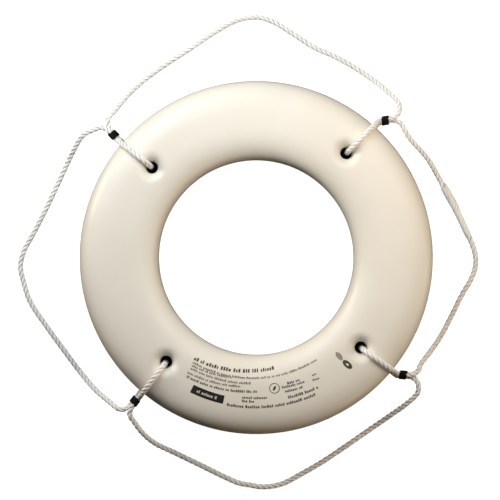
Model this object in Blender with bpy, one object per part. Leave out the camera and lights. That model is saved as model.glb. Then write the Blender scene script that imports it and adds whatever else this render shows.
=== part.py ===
"""Ring lifebuoy: a hollow moulded ring on a foam core, with a grab line threaded through four rope holes.

The ring lies flat with its printed front face up (+Z), and its centre is above the origin. It rests on the
four stretches of rope that cross its back, so the floor is at Z = 0. +Y is the top of the front face.
All lengths are in metres and all angles in degrees, anticlockwise from +X as seen from the front.

The grab line is one rope, with its two ends joined by a short splice. Black seizings pinch it together just
outside the ring, so it divides into four bights, which are fixed, and four loops, which swing.
"""

import math

import bpy
from mathutils import Matrix, Vector

# The moulded ring
RING_OUTER_DIAMETER = 0.610
RING_INNER_DIAMETER = 0.336
HULL_THICKNESS = 0.100
BACK_LAND_WIDTH = 0.040  # the flat that runs round the back
FACE_POWER = 3  # of the front's section: 2 would be an ellipse, and more is flatter on top
BACK_POWER = 2
SHELL_WALL = 0.0035

# The rope holes
HOLE_ANGLES = {"top_right": 45, "top_left": 135, "bottom_left": 225, "bottom_right": 315}
HOLE_DIAMETER = 0.021
LIP_WIDTH = 0.020  # how far the rounded mouth of a hole spreads past its bore
LIP_DEPTH = 0.018
LIP_PROUD = 0.0003  # the lip's own curve ends this far above the face, so that it meets it cleanly

# The foam filling ports in the back, and their plugs
PORT_ANGLES = {"fill_plug": 0, "vent_plug": 180}
PORT_DIAMETERS = {"fill_plug": 0.020, "vent_plug": 0.012}
PLUG_FLANGE_WIDTH = 0.005
PLUG_FLANGE_THICKNESS = 0.0016

# The grab line
ROPE_DIAMETER = 0.0095
SPLICE_DIAMETER = 0.0150
SPLICE_LENGTH = 0.115
SPLICE_START = 0.268  # along the right loop, from its lower end
SPLICE_TAPER = 0.018

# The seizings: the angle round the ring where each one has settled, and the way its bore points
SEIZING_ANGLES = {"top_right": 42.5, "top_left": 135.1, "bottom_left": 225.6, "bottom_right": 317.1}
SEIZING_HEADINGS = {"top_right": 6, "top_left": 128, "bottom_left": 228, "bottom_right": 351}
SEIZING_STANDOFF = 0.0105  # from the ring's outer edge to the middle of a seizing, less the rope's thickness
SEIZING_LENGTH = 0.014
SEIZING_WALL = 0.0012
LEG_TILT = 68  # of the line from the back leg to the front leg, in a seizing
SEIZING_LEAD = 0.003  # how far the legs stay straight and side by side beyond each end of a seizing
TAIL_BEND_RADIUS = 0.020  # of the rope where it leaves a seizing
TAIL_BEND = 55  # how far each leg turns there, towards its own loop

# The two legs of a bight: the angles at which each passes over its hole's lip, how far from the hole's axis
# it is down on the face, and the angle at which it leaves the ring's edge for its seizing
FRONT, BACK = 1, -1
LIP_TURNS = {FRONT: (0, 25, 50), BACK: (0, 25, 50, 70)}
FACE_REACH = {FRONT: 0.0234, BACK: 0.0326}
EDGE_TURN = 21
EDGE_STEPS = 4

# The loops as they lie, from one seizing to the next: x and y in mm, and how high, from 0 on the floor to 1
# at the seizings. They are drawn for a grab line whose seizings are ROUTE_RADIUS from the centre.
ROUTE_RADIUS = 0.325
LOOP_ROUTES = {
    "top": (
        (265, 249.5, 0.90), (246.5, 273.5, 0.53), (223, 298, 0.15), (195, 320, 0), (163, 341, 0),
        (128, 360, 0), (93, 386, 0), (61, 409, 0), (37, 419, 0), (20, 420, 0), (-5, 416, 0), (-49, 396, 0),
        (-87, 374, 0), (-131, 350, 0), (-174, 323, 0.05), (-203, 297, 0.43), (-224, 273, 0.80),
        (-234.5, 262, 0.97),
    ),
    "left": (
        (-261, 242, 0.96), (-284, 233, 0.76), (-301, 213, 0.45), (-318, 187, 0.11), (-341, 147, 0),
        (-364, 107, 0), (-389, 66, 0), (-404, 43, 0), (-413, 15, 0), (-409, -16, 0), (-401, -47, 0),
        (-373, -97, 0), (-348, -137, 0), (-323, -176, 0.01), (-296, -210, 0.36), (-271, -232, 0.78),
        (-259, -242, 0.98),
    ),
    "bottom": (
        (-233.5, -265, 0.95), (-220, -288, 0.75), (-200, -310, 0.40), (-167, -331, 0.03), (-127, -354, 0),
        (-86, -378, 0), (-59, -392, 0), (-40, -397, 0), (-16, -402, 0), (16, -399, 0), (54, -383, 0),
        (89, -366, 0), (133, -341, 0), (177, -315, 0.01), (214, -291.5, 0.32), (244, -270.5, 0.74),
        (262.5, -252, 0.96),
    ),
    "right": (
        (270, -206, 0.95), (289, -186, 0.70), (312, -160, 0.29), (333, -129, 0.01), (355, -92, 0),
        (375, -62, 0), (383, -40, 0), (382, -15, 0), (367, 28, 0), (350, 71, 0), (331, 112, 0.04),
        (309, 151, 0.48), (279, 188, 0.92),
    ),
}
LOOP_ENDS = {
    "top": ("top_right", "top_left"),
    "left": ("top_left", "bottom_left"),
    "bottom": ("bottom_left", "bottom_right"),
    "right": ("bottom_right", "top_right"),
}

# Fits and fineness
FIT_GAP = 0.0003  # between pieces that touch
LAY_GAP = 0.0009  # between the ring and the rope bent over it, whose straight steps cut its corners
RING_SEGMENTS = 48
SECTION_SEGMENTS = 12  # along the front half of the ring's section
HOLE_SEGMENTS = 16
LIP_SEGMENTS = 4
PORT_SEGMENTS = 20
SEIZING_SEGMENTS = 8  # round each end of a seizing's oval
SHARP_ANGLE = 40  # an edge between faces that meet at more than this is shaded sharp
BIGHT_SPACING = 0.004  # between the points of a fixed bight
LOOP_SPACING = 0.019  # between the points of a loop
FINE_STEP = 0.0015  # between the points of a smooth curve before it is divided evenly
SQUARE_END = 0.0015  # the first and last step of a rope
ROPE_ROUNDNESS = 2  # bevel resolution, which gives 8 sides
MM = 0.001

SECTION_RADIUS = (RING_OUTER_DIAMETER + RING_INNER_DIAMETER) / 4  # of the circle through the section's middle
HALF_WIDTH = (RING_OUTER_DIAMETER - RING_INNER_DIAMETER) / 4
HALF_THICKNESS = HULL_THICKNESS / 2
HALF_LAND = BACK_LAND_WIDTH / 2
HOLE_RADIUS = HOLE_DIAMETER / 2
LIP_START = HALF_THICKNESS + LIP_PROUD - LIP_DEPTH  # height above mid-thickness where a lip leaves its bore
ROPE_RADIUS = ROPE_DIAMETER / 2
ROPE_OFFSET = ROPE_RADIUS + LAY_GAP  # from a surface to the middle of a rope that lies on it
SEIZING_RADIUS = RING_OUTER_DIAMETER / 2 + SEIZING_STANDOFF + ROPE_DIAMETER
STRAIGHT_HALF = SEIZING_LENGTH / 2 + SEIZING_LEAD

MATERIALS = {
    "shell_plastic": ((0.86, 0.82, 0.72), 0.38),
    "foam": ((0.80, 0.72, 0.48), 0.90),
    "plug_plastic": ((0.84, 0.80, 0.70), 0.42),
    "rope_fibre": ((0.84, 0.81, 0.72), 0.80),
    "seizing_tape": ((0.02, 0.02, 0.02), 0.55),
}


def clear_scene():
    for obj in list(bpy.data.objects):
        bpy.data.objects.remove(obj)


def material(name):
    """The named finish, made on first use."""
    found = bpy.data.materials.get(name)
    if found:
        return found
    colour, roughness = MATERIALS[name]
    made = bpy.data.materials.new(name)
    made.use_nodes = True
    shader = made.node_tree.nodes["Principled BSDF"]
    shader.inputs["Base Color"].default_value = (*colour, 1)
    shader.inputs["Roughness"].default_value = roughness
    shader.inputs["Metallic"].default_value = 0
    return made


def place(obj, parent=None):
    bpy.context.scene.collection.objects.link(obj)
    obj.parent = parent
    return obj


def empty(name, location, parent=None):
    made = bpy.data.objects.new(name, None)
    made.location = location
    return place(made, parent)


def mesh_object(name, vertices, faces, parent, finish=None):
    """An object of this mesh, shaded smooth. One with no finish is a helper that only cuts others."""
    mesh = bpy.data.meshes.new(name)
    mesh.from_pydata(vertices, [], faces)
    mesh.shade_smooth()
    mesh.set_sharp_from_angle(angle=math.radians(SHARP_ANGLE))
    obj = place(bpy.data.objects.new(name, mesh), parent)
    if finish:
        mesh.materials.append(material(finish))
    else:
        obj.hide_render = True
        obj.display_type = "WIRE"
    return obj


def cut(obj, cutter):
    boolean = obj.modifiers.new(cutter.name, "BOOLEAN")
    boolean.operation = "DIFFERENCE"
    boolean.object = cutter


def polar(radius, angle, height=0.0):
    turn = math.radians(angle)
    return Vector((radius * math.cos(turn), radius * math.sin(turn), height))


def spun_grid(profile, segments, centre=Vector()):
    """Points of the profile's (radius, height) pairs turned about a vertical axis, one row for each turn."""
    rows = []
    for step in range(segments):
        rows += [centre + polar(radius, 360 * step / segments, height) for radius, height in profile]
    return rows


def spun_faces(count, segments, closed):
    """Faces between the rows of a spun grid. They face out where the profile runs anticlockwise."""
    faces = []
    for step in range(segments):
        here, there = step * count, (step + 1) % segments * count
        for j in range(count if closed else count - 1):
            after = (j + 1) % count
            faces.append((here + j, there + j, there + after, here + after))
    return faces


def turned_bodies(profile, centres, segments):
    """A closed body turned about each centre's axis, from a profile that runs up its outer side."""
    vertices, faces = [], []
    count = len(profile)
    for centre in centres:
        first = len(vertices)
        vertices += spun_grid(profile, segments, centre)
        faces += [tuple(first + i for i in face) for face in spun_faces(count, segments, False)]
        faces.append(tuple(first + step * count for step in reversed(range(segments))))
        faces.append(tuple(first + step * count + count - 1 for step in range(segments)))
    return vertices, faces


def bulge(turn, power):
    """The point of a superellipse of unit size in this direction: the two coordinates' powers add up to 1."""
    across, up = math.cos(turn), math.sin(turn)
    scale = (abs(across) ** power + abs(up) ** power) ** (-1 / power)
    return across * scale, up * scale


def section(inset):
    """The ring's section, anticlockwise from its outer edge: half a superellipse in front, and behind it two
    quarter ellipses with the flat land between them."""
    height = HALF_THICKNESS - inset
    front, behind = HALF_WIDTH - inset, HALF_WIDTH - HALF_LAND - inset
    half = SECTION_SEGMENTS
    lowest = half + SECTION_SEGMENTS // 2
    arcs = (
        (0, front, FACE_POWER, range(half + 1)),
        (-HALF_LAND, behind, BACK_POWER, range(half + 1, lowest + 1)),
        (HALF_LAND, behind, BACK_POWER, range(lowest, 2 * half)),
    )
    points = []
    for shift, width, power, steps in arcs:
        for step in steps:
            across, up = bulge(math.pi * step / half, power)
            points.append((SECTION_RADIUS + shift + width * across, height * up))
    return points


def ring_body(name, inset, parent, finish=None):
    profile = section(inset)
    vertices = spun_grid(profile, RING_SEGMENTS)
    return mesh_object(name, vertices, spun_faces(len(profile), RING_SEGMENTS, True), parent, finish)


def lip_point(turn, inset):
    """A point on a hole's rounded front mouth, as distance from the hole's axis and height. The lip is a
    quarter of an ellipse, from the bore at 0 degrees to the face at 90."""
    turn = math.radians(turn)
    reach = HOLE_RADIUS + LIP_WIDTH - (LIP_WIDTH - inset) * math.cos(turn)
    return reach, LIP_START + (LIP_DEPTH - inset) * math.sin(turn)


def hole_centres():
    return [polar(SECTION_RADIUS, angle) for angle in HOLE_ANGLES.values()]


def hole_cutters(name, inset, parent):
    """The four rope holes with their mouths, made smaller in the material by inset: 0 cuts the holes, and
    the wall's thickness leaves a wall round them."""
    upper = [lip_point(90 * step / LIP_SEGMENTS, inset) for step in range(LIP_SEGMENTS + 1)]
    upper.append((HOLE_RADIUS + LIP_WIDTH, HULL_THICKNESS))
    profile = [(radius, -height) for radius, height in reversed(upper)] + upper
    return mesh_object(name, *turned_bodies(profile, hole_centres(), HOLE_SEGMENTS), parent)


def port_centre(plug):
    return polar(SECTION_RADIUS, PORT_ANGLES[plug])


def port_cutter(plug, parent):
    """A filling port: a bore through the back wall, with a recess for the plug's flange."""
    bore = PORT_DIAMETERS[plug] / 2
    recess = bore + PLUG_FLANGE_WIDTH
    back = -HALF_THICKNESS
    step_height = back + PLUG_FLANGE_THICKNESS
    through = back + 2 * SHELL_WALL
    profile = [(recess, back - SHELL_WALL), (recess, step_height), (bore, step_height), (bore, through)]
    return mesh_object(f"{plug}_port", *turned_bodies(profile, [port_centre(plug)], PORT_SEGMENTS), parent)


def port_plug(plug, parent):
    """A stepped disc that fills its port flush, a fit gap smaller all round."""
    bore = PORT_DIAMETERS[plug] / 2 - FIT_GAP
    flange = bore + PLUG_FLANGE_WIDTH
    low = -HALF_THICKNESS + FIT_GAP
    step_height = -HALF_THICKNESS + PLUG_FLANGE_THICKNESS - FIT_GAP
    top = -HALF_THICKNESS + SHELL_WALL
    profile = [(flange, low), (flange, step_height), (bore, step_height), (bore, top)]
    vertices, faces = turned_bodies(profile, [port_centre(plug)], PORT_SEGMENTS)
    return mesh_object(plug, vertices, faces, parent, "plug_plastic")


def make_ring(parent):
    """The moulded shell, the foam that fills it, and the two plugs of its filling ports."""
    cavity = ring_body("shell_cavity", SHELL_WALL, parent)
    cut(cavity, hole_cutters("hole_walls", SHELL_WALL, parent))
    shell = ring_body("ring_shell", 0, parent, "shell_plastic")
    cut(shell, hole_cutters("rope_holes", 0, parent))
    cut(shell, cavity)
    foam = ring_body("foam_core", SHELL_WALL + FIT_GAP, parent, "foam")
    cut(foam, hole_cutters("foam_hole_walls", SHELL_WALL + FIT_GAP, parent))
    for plug in PORT_ANGLES:
        cut(shell, port_cutter(plug, parent))
        port_plug(plug, parent)


def smooth_curve(points, spacing):
    """Points about this far apart on a centripetal Catmull-Rom curve through the given points."""
    first, last = 2 * points[0] - points[1], 2 * points[-1] - points[-2]
    route = [first, *points, last]
    fine = []
    for a, b, c, d in zip(route, route[1:], route[2:], route[3:]):
        t1 = (b - a).length ** 0.5
        t2 = t1 + (c - b).length ** 0.5
        t3 = t2 + (d - c).length ** 0.5
        steps = max(4, math.ceil((c - b).length / FINE_STEP))
        for step in range(steps):
            t = t1 + (t2 - t1) * step / steps
            ab = a.lerp(b, t / t1)
            bc = b.lerp(c, (t - t1) / (t2 - t1))
            cd = c.lerp(d, (t - t2) / (t3 - t2))
            abc = ab.lerp(bc, t / t2)
            bcd = bc.lerp(cd, (t - t1) / (t3 - t1))
            fine.append(abc.lerp(bcd, (t - t1) / (t2 - t1)))
    fine.append(points[-1])
    count = max(2, round(curve_length(fine) / spacing))
    return [point_along(fine, step / count * curve_length(fine)) for step in range(count + 1)]


def curve_length(points):
    return sum((b - a).length for a, b in zip(points, points[1:]))


def point_along(points, distance):
    """The point this far along the line through the given points."""
    for a, b in zip(points, points[1:]):
        step = (b - a).length
        if distance <= step:
            return a.lerp(b, distance / step)
        distance -= step
    return points[-1]


def stretch(points, start, end, spacing):
    """The part of the line between two distances from its beginning. Its first and last steps are short,
    so that its end faces are square to the line and meet their neighbours' evenly."""
    inner_start, inner_end = start + SQUARE_END, end - SQUARE_END
    count = max(2, round((inner_end - inner_start) / spacing))
    inner = [inner_start + (inner_end - inner_start) * step / count for step in range(count + 1)]
    return [point_along(points, distance) for distance in (start, *inner, end)]


def rope(name, points, parent, radii=None):
    """A round rope along the given points. radii are shares of the rope's own radius."""
    curve = bpy.data.curves.new(name, "CURVE")
    curve.dimensions = "3D"
    curve.bevel_depth = ROPE_RADIUS
    curve.bevel_resolution = ROPE_ROUNDNESS
    curve.use_fill_caps = True
    spline = curve.splines.new("POLY")
    spline.points.add(len(points) - 1)
    for i, point in enumerate(points):
        spline.points[i].co = (*point, 1)
        spline.points[i].radius = radii[i] if radii else 1
    curve.materials.append(material("rope_fibre"))
    return place(bpy.data.objects.new(name, curve), parent)


def leg_offset(side):
    """From the middle of a seizing to the middle of its front or back leg: across, and up."""
    half = side * (ROPE_DIAMETER + FIT_GAP) / 2
    return half * math.cos(math.radians(LEG_TILT)), half * math.sin(math.radians(LEG_TILT))


def seizing_point(corner, side, along, across=0.0, up=0.0):
    """A point beside the line through the middle of a seizing, and along it from there. Across is positive
    towards this side's leg, and up is from the ring's mid-thickness."""
    heading = SEIZING_HEADINGS[corner]
    middle = polar(SEIZING_RADIUS, SEIZING_ANGLES[corner])
    return middle + polar(along, heading) + polar(side * across, heading + 90) + Vector((0, 0, up))


def tail_point(corner, side, turn):
    """A point on the bend by which a leg leaves the seizing towards its own loop. The bend is level with
    the leg where it starts, and at mid-thickness where it ends."""
    across, up = leg_offset(side)
    swept = math.radians(turn)
    along = STRAIGHT_HALF + TAIL_BEND_RADIUS * math.sin(swept)
    aside = abs(across) + TAIL_BEND_RADIUS * (1 - math.cos(swept))
    share = turn / TAIL_BEND
    return seizing_point(corner, side, along, aside, up * (1 - share * share * (3 - 2 * share)))


def pivot(corner, side):
    """Where the loop on this side of a seizing starts to swing: the middle of its rounded end."""
    return tail_point(corner, side, TAIL_BEND)


def over_face(side, share):
    """Radius and height of a rope that lies on the outer half of the ring's front or back. The share is 0
    where the rope is down on the face, and 1 where it leaves the ring's edge."""
    land, power = (0, FACE_POWER) if side == FRONT else (HALF_LAND, BACK_POWER)
    width = HALF_WIDTH - land
    reach = (FACE_REACH[side] - land) / width
    first = math.atan2((1 - reach**power) ** (1 / power), reach)
    across, up = bulge(first + (math.radians(EDGE_TURN) - first) * share, power)
    normal = Vector((across ** (power - 1) / width, up ** (power - 1) / HALF_THICKNESS)).normalized()
    radius = SECTION_RADIUS + land + width * across + ROPE_OFFSET * normal.x
    return radius, side * (HALF_THICKNESS * up + ROPE_OFFSET * normal.y)


def leg_points(corner, side):
    """The front or back leg of a bight, from inside the hole to the loop's pivot: up the outer wall of the
    hole, over its lip, round the ring's edge, through the seizing and round to the loop."""
    hole = polar(SECTION_RADIUS, HOLE_ANGLES[corner])
    across, up = leg_offset(side)
    entry = seizing_point(corner, side, -STRAIGHT_HALF, abs(across), up)
    heading = Vector((entry.x - hole.x, entry.y - hole.y, 0)).normalized()
    points = []
    for turn in LIP_TURNS[side]:
        reach, height = lip_point(turn, -ROPE_OFFSET)
        points.append(hole + heading * reach + Vector((0, 0, side * height)))
    for step in range(EDGE_STEPS + 1):
        radius, height = over_face(side, step / EDGE_STEPS)
        inward = hole.dot(heading)
        reach = math.sqrt(inward * inward - hole.length_squared + radius * radius) - inward
        points.append(hole + heading * reach + Vector((0, 0, height)))
    for share in (-1, -1 / 3, 1 / 3, 1):
        points.append(seizing_point(corner, side, STRAIGHT_HALF * share, abs(across), up))
    points += [tail_point(corner, side, TAIL_BEND * share) for share in (1 / 3, 2 / 3, 1)]
    return points


def bight_line(corner):
    """The rope through one hole, from the front leg's loop to the back leg's loop."""
    route = [*reversed(leg_points(corner, FRONT)), *leg_points(corner, BACK)]
    return smooth_curve(route, BIGHT_SPACING / 4)


def make_bight(corner, parent):
    """The fixed rope through one hole. Each end stops short of the rounded end of its loop."""
    line = bight_line(corner)
    end_gap = ROPE_RADIUS + FIT_GAP
    points = stretch(line, end_gap, curve_length(line) - end_gap, BIGHT_SPACING)
    return rope(f"rope_bight_{corner}", points, parent)


def oval(radius):
    """Points round the two legs in a seizing, at this distance from their middles, anticlockwise as seen
    looking back along the bore from its outer end. Each is (across, up)."""
    points = []
    for side, first in ((FRONT, LEG_TILT - 90), (BACK, LEG_TILT + 90)):
        across, up = leg_offset(side)
        for step in range(SEIZING_SEGMENTS + 1):
            turn = math.radians(first + 180 * step / SEIZING_SEGMENTS)
            points.append((across + radius * math.cos(turn), up + radius * math.sin(turn)))
    return points


def make_seizing(corner, parent):
    """The black binding that pinches the two legs together, as an oval sleeve."""
    half = SEIZING_LENGTH / 2
    bore = ROPE_RADIUS + FIT_GAP
    rings = []
    for radius, along in (
        (bore, -half), (bore + SEIZING_WALL, -half), (bore + SEIZING_WALL, half), (bore, half),
    ):
        rings.append([seizing_point(corner, FRONT, along, *point) for point in oval(radius)])
    count = len(rings[0])
    vertices = [point for ring in rings for point in ring]
    faces = []
    for i in range(len(rings)):
        here, there = i * count, (i + 1) % len(rings) * count
        for j in range(count):
            after = (j + 1) % count
            faces.append((here + j, here + after, there + after, there + j))
    return mesh_object(f"seizing_{corner}", vertices, faces, parent, "seizing_tape")


def loop_line(loop, mid_height):
    """The middle of a loop's rope, from one pivot to the other, relative to the ring's centre."""
    first, last = LOOP_ENDS[loop]
    spread = MM * SEIZING_RADIUS / ROUTE_RADIUS
    floor = ROPE_RADIUS - mid_height
    points = [pivot(first, FRONT)]
    for x, y, lift in LOOP_ROUTES[loop]:
        points.append(Vector((x * spread, y * spread, floor * (1 - lift))))
    points.append(pivot(last, BACK))
    line = smooth_curve(points, LOOP_SPACING / 8)
    for point in line:
        point.z = max(point.z, floor)
    return line


def rounded_end(points):
    """Extra points and radii that close the line's first end with a ball about its first point."""
    back = (points[0] - points[1]).normalized()
    shares = (0.95, 0.80, 0.50)
    return (
        [points[0] + back * ROPE_RADIUS * share for share in shares],
        [math.sqrt(1 - share * share) for share in shares],
    )


def make_loop(loop, ring):
    """One swinging loop, on an empty whose X axis is the line through its two pivots. The right loop is
    in two lengths, the rope's two ends, with the splice between them."""
    line = loop_line(loop, ring.location.z)
    start, end = line[0], line[-1]
    hinge = empty(f"{loop}_loop_hinge", ring.location + (start + end) / 2)
    along = start - end
    hinge.rotation_euler = (0, 0, math.atan2(along.y, along.x))
    to_hinge = Matrix.Rotation(-hinge.rotation_euler.z, 4, "Z") @ Matrix.Translation(-(start + end) / 2)
    local = [to_hinge @ point for point in line]
    length = curve_length(local)
    if loop != "right":
        points = stretch(local, 0, length, LOOP_SPACING)
        head, head_radii = rounded_end(points)
        tail, tail_radii = rounded_end(points[::-1])
        radii = [*head_radii, *[1] * len(points), *tail_radii[::-1]]
        rope(f"grab_loop_{loop}", [*head, *points, *tail[::-1]], hinge, radii)
        return hinge
    lower = stretch(local, 0, SPLICE_START - FIT_GAP, LOOP_SPACING)
    head, head_radii = rounded_end(lower)
    rope("grab_loop_right_lower", [*head, *lower], hinge, [*head_radii, *[1] * len(lower)])
    upper = stretch(local, SPLICE_START + SPLICE_LENGTH + FIT_GAP, length, LOOP_SPACING)
    tail, tail_radii = rounded_end(upper[::-1])
    rope("grab_loop_right_upper", [*upper, *tail[::-1]], hinge, [*[1] * len(upper), *tail_radii[::-1]])
    make_splice(local, hinge)
    return hinge


def make_splice(line, hinge):
    """The splice: a thick stretch of rope, tapered at both ends, that lies on the floor on its own girth.
    Its short first and last steps are as thin as the rope that they meet."""
    points = stretch(line, SPLICE_START, SPLICE_START + SPLICE_LENGTH, LOOP_SPACING / 2)
    thick = SPLICE_DIAMETER / ROPE_DIAMETER
    radii = []
    for i, point in enumerate(points):
        steps_in = max(0, min(i, len(points) - 1 - i) - 1)
        share = min(1, steps_in * LOOP_SPACING / 2 / SPLICE_TAPER)
        radii.append(1 + (thick - 1) * share)
        point.z += ROPE_RADIUS * (radii[-1] - 1)
    return rope("rope_splice", points, hinge, radii)


def main():
    clear_scene()
    lowest = min(point.z for corner in HOLE_ANGLES for point in bight_line(corner))
    ring = empty("ring_centre", (0, 0, ROPE_RADIUS - lowest))
    make_ring(ring)
    for corner in HOLE_ANGLES:
        make_bight(corner, ring)
        make_seizing(corner, ring)
    for loop in LOOP_ROUTES:
        make_loop(loop, ring)


main()
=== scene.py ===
"""Ring lifebuoy: the finished surfaces of the moulded ring, its printed lines, its plugs, the laid grab
line with its splice, and the black seizings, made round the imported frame.

All places are in metres in the frame's own axes: +Z is the ring's axis, out of its printed face, +Y is the
top of that face, and the floor is at Z = 0. Angles are in degrees, anticlockwise from +X.
"""

import math

import bmesh
import bpy
import numpy as np
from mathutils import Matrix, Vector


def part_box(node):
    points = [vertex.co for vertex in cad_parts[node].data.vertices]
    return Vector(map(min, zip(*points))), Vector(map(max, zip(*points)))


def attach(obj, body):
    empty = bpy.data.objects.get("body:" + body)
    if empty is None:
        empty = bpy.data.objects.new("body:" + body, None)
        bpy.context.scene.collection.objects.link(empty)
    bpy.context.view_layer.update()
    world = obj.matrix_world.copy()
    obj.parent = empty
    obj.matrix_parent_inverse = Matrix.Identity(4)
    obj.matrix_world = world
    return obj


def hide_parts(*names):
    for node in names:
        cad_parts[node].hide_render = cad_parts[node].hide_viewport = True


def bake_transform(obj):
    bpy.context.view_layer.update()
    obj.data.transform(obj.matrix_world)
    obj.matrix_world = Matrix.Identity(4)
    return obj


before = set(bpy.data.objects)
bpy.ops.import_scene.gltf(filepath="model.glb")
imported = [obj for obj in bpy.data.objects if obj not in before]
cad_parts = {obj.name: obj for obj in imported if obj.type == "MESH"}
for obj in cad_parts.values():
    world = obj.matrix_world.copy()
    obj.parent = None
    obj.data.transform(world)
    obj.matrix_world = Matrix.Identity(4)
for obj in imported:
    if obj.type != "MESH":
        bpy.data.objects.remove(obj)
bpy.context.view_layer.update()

# The moulded ring, taken from its solid, and the sizes that the solid was made to
shell_low, shell_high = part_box("ring_shell")
MIDDLE_Z = (shell_low.z + shell_high.z) / 2
OUTER_RADIUS = (shell_high.x - shell_low.x) / 2
HALF_THICKNESS = (shell_high.z - shell_low.z) / 2
INNER_RADIUS = 0.168
HALF_LAND = 0.020
FACE_POWER = 3  # of the front's section: 2 is an ellipse, and more is flatter on top
BACK_POWER = 2
SECTION_RADIUS = (OUTER_RADIUS + INNER_RADIUS) / 2
HALF_WIDTH = (OUTER_RADIUS - INNER_RADIUS) / 2

# The rope holes and their rounded mouths
HOLE_ANGLES = {"top_right": 45, "top_left": 135, "bottom_left": 225, "bottom_right": 315}
HOLE_RADIUS = 0.0105
LIP_WIDTH = 0.020
LIP_DEPTH = 0.018
LIP_TOP = HALF_THICKNESS + 0.0003
LIP_POWER = 2.4  # of the mouth's curve: 2 would be an ellipse, and more is flatter at its outer end

# How finely the shell is made: it is carried round the ring, but for a square patch round each hole
PATCH_HALF = 0.044  # half a patch's width across the section
PATCH_TURN = 10.8  # and half its length, in degrees round the ring
PATCH_STEPS = 20
RIM_STEPS = 15
GAP_STEPS = 52
LIP_STEPS = 18

# The moulding seam round both edges
SEAM_HEIGHT = 0.00035
SEAM_HALF = 0.0009
SEAM_STEP = 0.018  # between the points over the seam, as a turn of the section in radians

# The plugs in the back: angle round the ring, and flange radius
PLUGS = {"fill_plug": (0, 0.0150), "vent_plug": (180, 0.0110)}
PLUG_PROUD = 0.0007

# The grab line
ROPE_RADIUS = 0.00475
LAY_GAP = 0.0009
ROPE_OFFSET = ROPE_RADIUS + LAY_GAP
LEG_GAP = 0.0003
STRAND_RADIUS = 0.0026  # with the fuzz that stands out from it
STRAND_ORBIT = 0.00237
RESTING_HEIGHT = 0.0052  # of the rope's middle over the floor
LAY_LENGTH = 0.029  # one whole turn of a strand
STRAND_SIDES = 14
STRAND_STEP = 0.0015

# The seizings
SEIZING_RADIUS = 0.325  # from the ring's axis
SEIZING_ANGLES = {"top_right": 42.5, "top_left": 135.1, "bottom_left": 225.6, "bottom_right": 317.1}
SEIZING_HEADINGS = {"top_right": 6, "top_left": 128, "bottom_left": 228, "bottom_right": 351}
SEIZING_LENGTH = 0.014
STRAIGHT_HALF = SEIZING_LENGTH / 2 + 0.003
LEG_TILT = 68
TWINE_RADIUS = 0.00085
TWINE_TURNS = 7
TAIL_BEND_RADIUS = 0.020
TAIL_BEND = 55

# The two legs of each bight: the angles at which each passes over its hole's lip, how far from the hole's
# axis it is down on the face, and the angle at which it leaves the ring's edge for its seizing
FRONT, BACK = 1, -1
LIP_TURNS = {FRONT: (0, 25, 50), BACK: (0, 25, 50, 70)}
FACE_REACH = {FRONT: 0.0234, BACK: 0.0326}
EDGE_TURN = 21
EDGE_STEPS = 4

# The loops as they lie: x, y, and how high, from 0 on the floor to 1 at the seizings
LOOP_ROUTES = {
    "top": (
        (0.265, 0.2495, 0.90), (0.2465, 0.2735, 0.53), (0.223, 0.298, 0.15), (0.195, 0.320, 0),
        (0.163, 0.341, 0), (0.128, 0.360, 0), (0.093, 0.386, 0), (0.061, 0.409, 0), (0.037, 0.419, 0),
        (0.020, 0.420, 0), (-0.005, 0.416, 0), (-0.049, 0.396, 0), (-0.087, 0.374, 0), (-0.131, 0.350, 0),
        (-0.174, 0.323, 0.05), (-0.203, 0.297, 0.43), (-0.224, 0.273, 0.80), (-0.2345, 0.262, 0.97),
    ),
    "left": (
        (-0.261, 0.242, 0.96), (-0.284, 0.233, 0.76), (-0.301, 0.213, 0.45), (-0.318, 0.187, 0.11),
        (-0.341, 0.147, 0), (-0.364, 0.107, 0), (-0.389, 0.066, 0), (-0.404, 0.043, 0), (-0.413, 0.015, 0),
        (-0.409, -0.016, 0), (-0.401, -0.047, 0), (-0.373, -0.097, 0), (-0.348, -0.137, 0),
        (-0.323, -0.176, 0.01), (-0.296, -0.210, 0.36), (-0.271, -0.232, 0.78), (-0.259, -0.242, 0.98),
    ),
    "bottom": (
        (-0.2335, -0.265, 0.95), (-0.220, -0.288, 0.75), (-0.200, -0.310, 0.40), (-0.167, -0.331, 0.03),
        (-0.127, -0.354, 0), (-0.086, -0.378, 0), (-0.059, -0.392, 0), (-0.040, -0.397, 0),
        (-0.016, -0.402, 0), (0.016, -0.399, 0), (0.054, -0.383, 0), (0.089, -0.366, 0), (0.133, -0.341, 0),
        (0.177, -0.315, 0.01), (0.214, -0.2915, 0.32), (0.244, -0.2705, 0.74), (0.2625, -0.252, 0.96),
    ),
    "right": (
        (0.270, -0.206, 0.95), (0.289, -0.186, 0.70), (0.312, -0.160, 0.29), (0.333, -0.129, 0.01),
        (0.355, -0.092, 0), (0.375, -0.062, 0), (0.383, -0.040, 0), (0.382, -0.015, 0), (0.367, 0.028, 0),
        (0.350, 0.071, 0), (0.331, 0.112, 0.04), (0.309, 0.151, 0.48), (0.279, 0.188, 0.92),
    ),
}
LOOP_ENDS = {
    "top": ("top_right", "top_left"),
    "left": ("top_left", "bottom_left"),
    "bottom": ("bottom_left", "bottom_right"),
    "right": ("bottom_right", "top_right"),
}
LOOP_NODES = {
    "top": ("grab_loop_top",),
    "left": ("grab_loop_left",),
    "bottom": ("grab_loop_bottom",),
    "right": ("grab_loop_right_lower", "grab_loop_right_upper"),
}

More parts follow.
